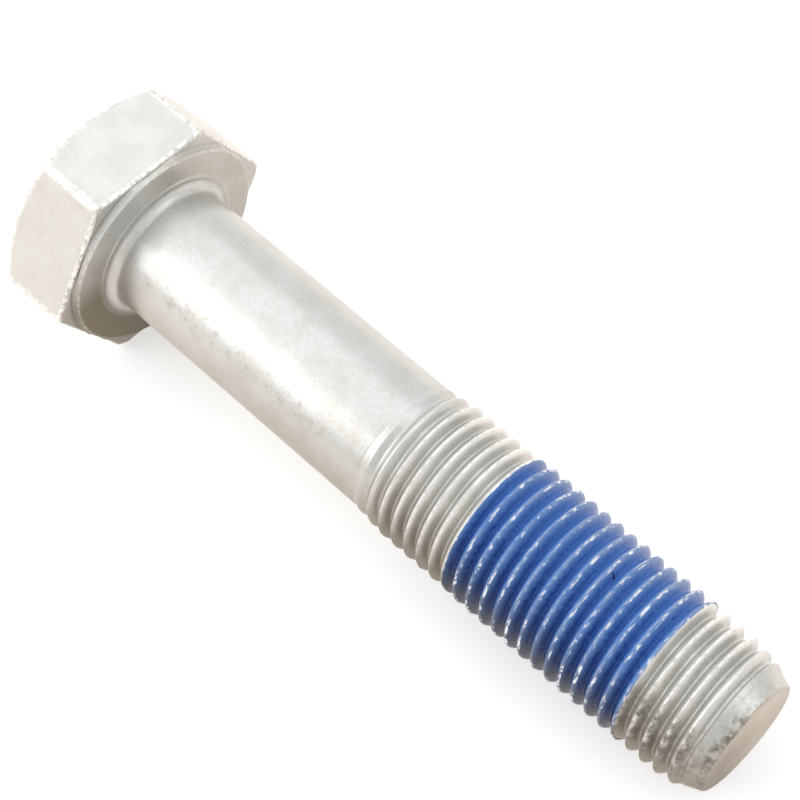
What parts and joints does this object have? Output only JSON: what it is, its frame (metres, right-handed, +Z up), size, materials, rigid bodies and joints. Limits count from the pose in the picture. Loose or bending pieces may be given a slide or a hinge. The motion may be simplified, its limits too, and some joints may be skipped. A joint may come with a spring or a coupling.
{
  "type": "crankshaft pulley bolt",
  "caption": "Hexagon-head steel bolt that clamps a pulley to the end of a crankshaft, with a plain shank, a fine rolled thread and a blue thread-locking coat on the middle of the thread.",
  "frame": {"origin": "on the ground plane that the lying bolt rests on, under the middle of its bounding box", "axes": "+X along the bolt from the head to the tip, dipping 3.47 degrees towards the tip because the bolt rests on its head and its thread; +Z up; +Y to the left when looking from the head to the tip"},
  "size_m": [0.0802, 0.0252, 0.0224],
  "materials": {
    "zinc_plated_steel": "forged and rolled steel with a satin zinc plating",
    "thread_locking_resin": "glossy blue resin, set on the thread"
  },
  "bodies": {
    "root": {"bolt": "zinc_plated_steel", "thread_locking_coat": "thread_locking_resin"}
  },
  "joints": []
}
